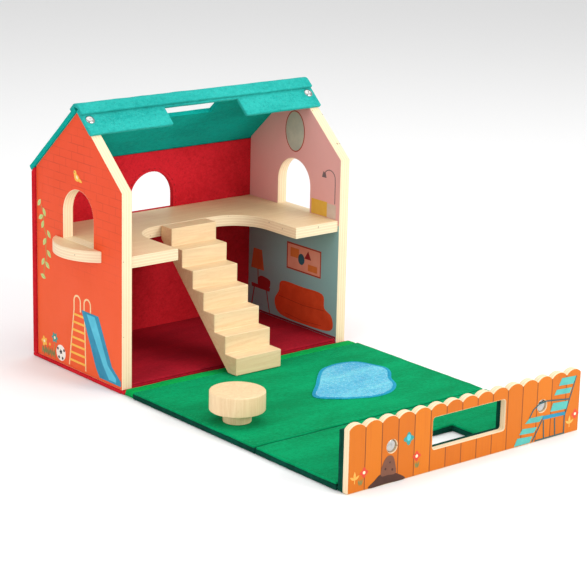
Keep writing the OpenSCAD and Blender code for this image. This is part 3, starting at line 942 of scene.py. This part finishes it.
# ---- stitching ----
print("stitching")
inset, proud = stitch["inset"], 0.05 * mm
above, below = layFlat(lawnTop + 0.15 * mm), layFlat(-0.1 * mm)
up, down, backwards, forwards = (0, 0, 1), (0, 0, -1), (0, 1, 0), (0, -1, 0)
stitchPiece("lawnStitches", [(laidOn(boxLoop(lawnLow, lawnHigh, inset), place), True, way)
                             for place, way in ((above, up), (below, down))], "green", "lawn")
panelSeams = (boxLoop(panelLow, panelHigh, inset), boxLoop(*grip, -inset))
stitchPiece("frontRoofStitches", [(laidOn(loop, place), True, way)
                                  for place, way in ((above, up), (below, down)) for loop in panelSeams],
            "green", "front_roof")
poolSeam = laidOn(offsetLoop(poolLoop, pool["seam"])[::2], above @ layFlat(0.8 * mm))
stitchPiece("poolStitches", [(poolSeam, True, up)], "blue", "lawn")
outsideBack, insideBack = uprightY(backOuterHigh.y + proud), uprightY(backLow.y - proud)
stitchPiece("backStitches", [
    (laidOn(boxLoop(backFoot, backTop, inset), outsideBack), True, backwards),
    (laidOn(backWindow(inset, inset, 14), outsideBack), True, backwards),
    (laidOn(backWindow(inset, -mm, 14)[1:], insideBack), False, forwards)], "red", "house")
overRoof = backSlope(roofFull + 0.1 * mm)
roofOut = overRoof.to_3x3() @ Vector(up)
belowBand = (roofLow[0], band["reach"] + 2 * mm)
stitchPiece("roofStitches", [
    (laidOn(boxLoop(belowBand, roofHigh, inset), overRoof), True, roofOut),
    (laidOn(boxLoop(*roofHole, -inset), overRoof), True, roofOut)], "teal", "house")
stitchPiece("backingStitches", [
    (laidOn(boxLoop(*backingBox, inset), uprightY(backingHigh.y + proud)), True, backwards),
    (laidOn(boxLoop(*backingHole, -inset), uprightY(backingHigh.y + proud)), True, backwards)],
    "dark", "fence_panel")


# ---- fence ----
print("fence")
fenceLow, fenceHigh, fenceMid = span("fence")
planks = {"count": 15, "crown": 12.5 * mm, "rounding": 0.0009, "slotCorner": 3 * mm, "pocket": 6.0 * mm,
          "pocketX": 0.091, "pocketZ": 0.033, "pocketDepth": 3.5 * mm}
plankWidth = (fenceHigh.x - fenceLow.x) / planks["count"]
fenceThick = fenceHigh.y - fenceLow.y


def fenceLoop():
    radius = planks["crown"]
    reach = math.degrees(math.asin(plankWidth / 2 / radius))
    outline = [(fenceLow.x, 0.0), (fenceHigh.x, 0.0)]
    for k in reversed(range(planks["count"])):
        middle = fenceLow.x + (k + 0.5) * plankWidth
        outline += arc(middle, fenceHigh.z - radius, radius, 90 - reach, 90 + reach, 8)
    return [p for i, p in enumerate(outline) if (Vector(p) - Vector(outline[i - 1])).length > 1e-6]


pockets = [arc(side * planks["pocketX"], planks["pocketZ"], planks["pocket"], 0, 360, 32)[:-1]
           for side in (-1, 1)]
fenceFace = [fenceLoop(), roundedBox(*slotBox, planks["slotCorner"]), *pockets]
fenceParts = [makeSlab(fenceFace, fenceThick, uprightY(fenceHigh.y), planks["rounding"], 40)]
fenceParts += [makeSlab([loop], fenceThick - planks["pocketDepth"], uprightY(fenceHigh.y), 0)
               for loop in pockets]
makePiece(joined(*fenceParts), "fencePlanks", [fenceMaterial("fencePly", fenceMid.y, plankWidth, fenceLow.x)],
          "fence_panel", "fence")

magnet = {"radius": 5.2, "thick": 2.2}       # in mm, as is the profile
discProfile = [(r * mm, z * mm) for r, z in (
    (0, 0), (magnet["radius"], 0), (magnet["radius"], magnet["thick"] - 0.5),
    (magnet["radius"] - 0.15, magnet["thick"] - 0.15), (magnet["radius"] - 0.5, magnet["thick"]),
    (3, magnet["thick"] + 0.12), (0, magnet["thick"] + 0.16))]
discs = [lathe(discProfile, uprightY(fenceLow.y + planks["pocketDepth"]) @ Matrix.Translation(
    (side * planks["pocketX"], planks["pocketZ"], 0))) for side in (-1, 1)]
makePiece(joined(*discs), "fenceMagnets", [silver], "fence_panel", "fence_magnets",
          weighted=False, smooth=40)


# ---- loose pieces ----
print("stairs and table")
stairLow, stairHigh, _ = span("stairs")
stairs = {"steps": 7, "waist": 13.5 * mm, "rounding": 0.0008}


def stairLoop():
    rise = (stairHigh.z - stairLow.z) / stairs["steps"]
    going = (stairHigh.y - stairLow.y) / stairs["steps"]
    outline = [(stairLow.y, stairLow.z)]
    for k in range(stairs["steps"]):
        top = stairLow.z + (k + 1) * rise
        outline += [(stairLow.y + k * going, top), (stairLow.y + (k + 1) * going, top)]
    return outline + [(stairHigh.y, stairHigh.z - stairs["waist"]), (stairLow.y + stairs["waist"], stairLow.z)]


flight = makeSlab([stairLoop()], stairHigh.x - stairLow.x, uprightX(stairLow.x), stairs["rounding"], 30)
makePiece(flight, "stairFlight", [beech["stairs"]], "stair_block", "stairs")


def turned(low, high, rounding, dish):
    # a disc with rounded rims and a faintly hollow top
    radius = (high.x - low.x) / 2
    rim = radius - rounding
    return ([(0.0, low.z), (rim, low.z)] + arc(rim, low.z + rounding, rounding, -90, 0, 4)
            + arc(rim, high.z - rounding, rounding, 0, 90, 4)
            + [(radius * 0.75, high.z - dish / 2), (0.0, high.z - dish)])


for name, node, rounding, dish, steps in (("tableTop", "table_top", 1.2 * mm, 0.1 * mm, 64),
                                          ("tableFoot", "table_foot", 0.8 * mm, 0.0, 48)):
    low, high, middle = span(node)
    disc = lathe(turned(low, high, rounding, dish), Matrix.Translation((middle.x, middle.y, 0)), steps)
    makePiece(disc, name, [beech["table"]], "table", node, weighted=False)

paint(grey, "base_board", "back_board", "roof_board", "lawn_board", "front_roof_board", "fence_core")
paint(steel, "roof_plates")


# ---- prints ----
print("prints")
inkTones = {                                 # the ink and its deeper patches
    "leaf": ("C6D489", "B4C773"), "stem": ("8FA95C", "7F994F"), "yellow": ("F6C04F", "F0B03F"),
    "cream": ("F7E7C4", "EFDDB6"), "black": ("33302E", "2A2725"), "white": ("F6F1E8", "ECE6DA"),
    "blueDeep": ("1F8FB0", "177D9D"), "blueLight": ("55C0D8", "46B2CC"), "grass": ("7C8A52", "6C7B48"),
    "tealFlower": ("3E9C93", "348A82"), "rail": ("F3D3A2", "EBC68F"), "rose": ("D9472F", "C93B26"),
    "pale": ("EDB055", "E7A448"), "soil": ("4A2A20", "3D2119"), "soilLight": ("7A4E3A", "6B4332"),
    "sling": ("58B7AE", "4AA79F"), "slingDeep": ("1E5F66", "184F57"), "mirror": ("C3C0AE", "ACB0A2"),
    "frame": ("B8442F", "A63A28"), "shower": ("7B6A6C", "6E5E60"), "bath": ("E6B84C", "DDAA3E"),
    "bathPale": ("D8C3B4", "CDB6A6"), "picture": ("F1A68C", "E89A80"), "shape": ("E2803F", "D67336"),
    "dot": ("1F6472", "185663"), "sofa": ("E8552B", "D8481F"), "sofaDark": ("C23A1B", "B03217"),
    "shade": ("CF6B3A", "C26034"), "pole": ("9A5A44", "8B4F3B"), "chair": ("A82A2E", "962327"),
    "skirting": ("9A2238", "871B30"),
}
inks = {key: inkMaterial(named("ink", key), *tones) for key, tones in inkTones.items()}


def turnedAt(points, x, y, turn):
    c, s = math.cos(turn), math.sin(turn)
    return [(x + u * c - v * s, y + u * s + v * c) for u, v in points]


def spot(x, y, rx, ry=None, turn=0.0, count=20):
    return turnedAt([(u * rx, v * (ry or rx)) for u, v in arc(0, 0, 1, 0, 360, count)[:-1]], x, y, turn)


def leafShape(x, y, length, width, turn, count=8):
    side = [(length * (i / count - 0.5), width / 2 * math.sin(math.pi * i / count)) for i in range(count + 1)]
    return turnedAt(side + [(u, -v) for u, v in reversed(side[1:-1])], x, y, turn)


def line(points, width):
    # a drawn stroke of even width with square ends
    left, right = [], []
    for i, p in enumerate(points):
        a, b = Vector(points[max(i - 1, 0)]), Vector(points[min(i + 1, len(points) - 1)])
        along = (b - a).normalized()
        side = Vector((-along.y, along.x)) * width / 2
        left.append((p[0] + side.x, p[1] + side.y))
        right.append((p[0] - side.x, p[1] - side.y))
    return left + right[::-1]


def blossom(x, y, radius, petals, count=40):
    angles = [math.tau * i / count for i in range(count)]
    sizes = [radius * (0.82 + 0.18 * math.cos(petals * a)) for a in angles]
    return [(x + r * math.cos(a), y + r * math.sin(a)) for a, r in zip(angles, sizes)]


def printPiece(name, shapes, place, slotName, body, step=0.025, thick=0.06):
    # each shape is (ink, outline in mm); later ones lie a hair above earlier ones
    used = sorted({ink for ink, _ in shapes})
    parts = []
    for order, (ink, outline) in enumerate(shapes):
        bm = makeSlab([[(u * mm, v * mm) for u, v in outline]], (thick + step * order) * mm, place, 0)
        for face in bm.faces:
            face.material_index = used.index(ink)
        parts.append(bm)
    makePiece(joined(*parts), name, [inks[u] for u in used], body, weighted=False, smooth=30)


def onWall(x):
    # (y, z) outlines on a face that looks towards -X
    return Matrix(((0, 0, -1, x), (1, 0, 0, 0), (0, 1, 0, 0), (0, 0, 0, 1)))


leftWall = (onWall(-halfWidth), "wall_print_red", "house")
rightRoom = (onWall(halfWidth - plyThick), "wall_print_pink", "house")

stem = [(66, 158), (61, 150), (62, 138), (56, 128), (58, 116), (56, 106), (61, 96), (62, 84)]
vine = [("stem", line(stem, 0.7))]
for y, z, turn in ((69, 160, 2.2), (60, 152, 1.1), (63, 139, 2.0), (52, 131, 0.9), (60, 122, 2.1),
                   (52, 111, 0.8), (63, 101, 2.1), (63, 86, 0.3), (66, 146, 2.6), (55, 99, 0.7)):
    reachY, reachZ = 3 * math.cos(turn), 3 * math.sin(turn)
    vine += [("leaf", leafShape(y, z, 9.5, 4.8, turn)),
             ("stem", line([(y - reachY, z - reachZ), (y + reachY, z + reachZ)], 0.35))]
printPiece("vinePrint", vine, *leftWall, step=0.01)

printPiece("birdPrint", [
    ("yellow", spot(2, 197, 4.6, 3.4, 0.35)), ("yellow", spot(5, 201.5, 2.4)),
    ("yellow", leafShape(-3.5, 195, 8, 3.2, 0.3)), ("rose", leafShape(8, 202, 3.2, 1.4, 0.1)),
    ("cream", leafShape(1.5, 197.5, 5, 2.4, 0.8)), ("black", spot(5.6, 202, 0.45))], *leftWall)

ladder = {"rails": ((17, 8), (-12, -10)), "low": 6, "high": 65, "rungs": 7, "firstRung": 12, "gap": 8}
play = [("rail", line([(middle - 5.5, 64)] + arc(middle, 74, 5.5, 180, 0, 10) + [(middle + 5.5, 64)], 1.8))
        for middle in (2.5, -15)]
play += [("rail", line([(foot, ladder["low"]), (head, ladder["high"])], 1.7))
         for foot, head in ladder["rails"]]
for k in range(ladder["rungs"]):
    z = ladder["firstRung"] + k * ladder["gap"]
    t = (z - ladder["low"]) / (ladder["high"] - ladder["low"])
    play.append(("yellow", line([(foot + (head - foot) * t, z) for foot, head in ladder["rails"]], 2.2)))
play += [("blueDeep", [(-5, 67), (-34, 67), (-57, 22), (-72, 11), (-72, 6), (-36, 6), (-30, 14)]),
         ("blueLight", [(-14, 65), (-28, 65), (-50, 22), (-64, 12), (-64, 8), (-52, 8), (-42, 20)])]
printPiece("slidePrint", play, *leftWall, step=0.008)

garden = [("white", spot(32, 14, 8.2)), ("black", blossom(32, 15, 2.6, 5))]
garden += [("black", spot(y, z, 1.5)) for y, z in ((26.5, 17.5), (37.5, 17.5), (29, 9), (35.5, 9))]
garden += [("yellow", blossom(62, 19, 5.4, 5)), ("cream", spot(62, 19, 1.5)),
           ("tealFlower", blossom(43, 27, 5.6, 6)), ("cream", spot(43, 27, 1.6)),
           ("yellow", spot(52, 18, 1.5)), ("stem", line([(43, 21), (44, 12)], 0.7)), ("stem", line([(61, 14), (60, 8)], 0.7))]
garden += [("grass", leafShape(43 + k * 2.2, 9 + (k % 3), 8.5, 1.7, 1.57 + 0.3 * math.sin(k * 1.9)))
           for k in range(11)]
printPiece("gardenPrint", garden, *leftWall, step=0.01)

printPiece("washroomPrint", [
    ("frame", spot(0, 214, 15.8, 21.8, 0, 40)), ("mirror", spot(0, 214, 14.6, 20.6, 0, 40)),
    ("bath", boxLoop((-29, 133.3), (-54, 149))), ("bathPale", boxLoop((-54, 133.3), (-68, 148))),
    ("shower", line([(-66, 149), (-66, 170)] + arc(-57, 174, 9, 180, 30, 8)[1:], 0.9)),
    ("shower", [(-45, 174), (-52, 174), (-50.5, 179), (-47, 180)])], *rightRoom)

printPiece("loungePrint", [
    ("frame", boxLoop((9, 66), (-47, 95))), ("picture", boxLoop((7.4, 67.6), (-45.4, 93.4))),
    ("shape", boxLoop((3, 80), (-11, 90))), ("dot", spot(-15, 80, 5.2, 6.0)),
    ("chair", [(-20, 82), (-31, 82), (-26, 91)]), ("shape", boxLoop((-26, 70), (-41, 77))),
    ("sofa", smoothLoop([(16, 50), (-17, 50.5), (-50, 50), (-54, 36), (-66, 29), (-64, 14), (-22, 11),
                         (18, 13), (28, 26), (21, 38)], 5)),
    ("sofaDark", line([(-54, 33), (-20, 31), (21, 33)], 0.7)),
    ("sofaDark", line([(-50, 16), (-20, 14), (10, 16)], 0.6)),
    ("pole", line([(57.5, 56), (56.5, 40)], 1.4)), ("shade", [(69, 54), (47, 54), (51, 76), (65, 76)]),
    ("chair", [(67, 33), (37, 33), (36, 37), (68, 37)]),
    ("chair", smoothLoop([(56, 36), (40, 36), (36, 41), (38, 46), (54, 47)], 4)),
    ("chair", line([(63, 33), (67, 13)], 1.3)), ("chair", line([(42, 33), (36, 9)], 1.3)),
    ("skirting", boxLoop((73, 7.5), (-73, 9.5)))], *rightRoom, step=0.012)

fenceArt = []
for x, z in ((-122, 16), (-62, 18), (135, 17)):
    fenceArt += [("rose", blossom(x, z, 4.8, 4)), ("cream", spot(x, z, 4.8 * 0.3))]
for x, z in ((-132.5, 13), (128, 10.5)):
    fenceArt += [("pale", leafShape(x, z + 2, 8, 2.6, 1.57)), ("pale", leafShape(x - 2.4, z, 6.5, 2.2, 2.6)),
                 ("pale", leafShape(x + 2.4, z, 6.5, 2.2, 0.55)), ("pale", line([(x, z), (x, z - 5)], 0.8))]
for x, z in ((-126, 8), (-61.5, 10)):
    fenceArt += [("grass", leafShape(x + k * 1.7, z, 6, 1.3, 1.57 - k * 0.25)) for k in (-1, 0, 1)]
soil = [(-117, 0.6), (-110, 6), (-104, 10), (-94, 11), (-85, 7.5), (-75, 0.6), (-96, 0.5)]
mound = [(-103, 9), (-101, 19), (-96, 25), (-90, 24), (-87, 17), (-86, 8), (-95, 8)]
fenceArt += [("tealFlower", blossom(-72, 36, 6.0, 4)), ("blueLight", spot(-72, 37, 2.2, 3.0)),
             ("soil", smoothLoop(soil, 5)), ("soilLight", smoothLoop(mound, 5))]
fenceArt += [("soil", spot(*at)) for at in ((-98, 14, 1.1), (-93, 19, 0.9), (-90, 12, 1.2))]
slats = [[(115, 55), (134, 54), (130.3, 47), (111.2, 48.3)],
         [(109, 45), (128.5, 43.8), (126.4, 38.9), (106, 40.2)],
         [(104.8, 33), (124.7, 31.7), (122.8, 24.2), (102, 25.4)],
         [(75.2, 24.4), (93.1, 23.7), (88.5, 18.6), (69.8, 20.1)],
         [(66.8, 15.8), (85.5, 14.2), (82.2, 9.6), (63.1, 11)],
         [(60.8, 8), (80, 6.5), (77, 1), (57, 1)]]
chairLines = [[(134, 54), (121, 18)], [(92.4, 20.7), (79.8, 1)], [(93.4, 19), (95, 1)],
              [(108, 18), (109.5, 1)], [(120.8, 19), (121, 1)], [(84, 1.2), (122, 1.2)],
              [(127, 33), (96.3, 36.8), (87.4, 35.8), (79.6, 31.5), (75.2, 24.4)]]
fenceArt += [("sling", slat) for slat in slats] + [("slingDeep", line(points, 1.2)) for points in chairLines]
fenceArt.append(("blueDeep", [(92.3, 23.3), (121.3, 21.9), (121.5, 18.7), (91.7, 19.7)]))
printPiece("fencePrint", fenceArt, uprightY(fenceLow.y), "fence_print", "fence_panel", step=0.006)


# ---- floor, lights, camera ----
print("stage")
scene = bpy.context.scene
ground = {"half": 6.0, "drop": 0.4 * mm, "tone": 0.9}
bm = bmesh.new()
bmesh.ops.create_grid(bm, x_segments=2, y_segments=2, size=ground["half"])
bmesh.ops.translate(bm, vec=(0, 0, -ground["drop"]), verts=bm.verts[:])
groundObject = bpy.data.objects.new("ground", bpy.data.meshes.new("ground"))
bm.to_mesh(groundObject.data)
bm.free()
scene.collection.objects.link(groundObject)
paper, tree, shader = newMaterial("paper", Base_Color=(ground["tone"],) * 3 + (1,), Roughness=0.8,
                                  Specular_IOR_Level=0.2)
groundObject.data.materials.append(paper)

lights = [
    {"name": "overhead", "at": (0.3, 0.0, 1.9), "size": 2.0, "power": 18, "tint": (1, 1, 1)},
    {"name": "frontRight", "at": (0.8, -1.9, 0.95), "size": 1.0, "power": 25, "tint": (1, 0.99, 0.97)},
    {"name": "left", "at": (-2.0, -0.7, 0.9), "size": 1.4, "power": 12, "tint": (1, 1, 1)},
]
aim = Vector((0, -0.12, 0.08))
for light in lights:
    lamp = bpy.data.lights.new(light["name"], "AREA")
    lamp.shape, lamp.size = "SQUARE", light["size"]
    lamp.energy, lamp.color = light["power"], light["tint"]
    lampObject = bpy.data.objects.new(light["name"], lamp)
    lampObject.location = light["at"]
    lampObject.rotation_euler = (aim - Vector(light["at"])).to_track_quat("-Z", "Y").to_euler()
    scene.collection.objects.link(lampObject)

sky = {"tint": (1, 1, 1, 1), "strength": 0.72}
scene.world = scene.world or bpy.data.worlds.new("world")
scene.world.use_nodes = True
background = scene.world.node_tree.nodes["Background"]
background.inputs["Color"].default_value = sky["tint"]
background.inputs["Strength"].default_value = sky["strength"]

view = {"azimuth": 39.67, "elevation": 15.61, "roll": 1.32, "distance": 2.03808,
        "target": (0.03596, -0.115, 0.08079), "lens": 127.11, "sensor": 36}
az, el, roll = (math.radians(view[k]) for k in ("azimuth", "elevation", "roll"))
away = Vector((-math.sin(az) * math.cos(el), -math.cos(az) * math.cos(el), math.sin(el)))
right = (-away).cross(Vector((0, 0, 1))).normalized()
top = right.cross(-away)
right, top = right * math.cos(roll) + top * math.sin(roll), top * math.cos(roll) - right * math.sin(roll)
camera = bpy.data.objects.new("camera", bpy.data.cameras.new("camera"))
camera.data.lens, camera.data.sensor_width = view["lens"], view["sensor"]
stand = Matrix((right, top, away)).transposed().to_4x4()
stand.translation = Vector(view["target"]) + away * view["distance"]
camera.matrix_world = stand
scene.collection.objects.link(camera)
scene.camera = camera
scene.view_settings.view_transform = "Standard"

print("done")
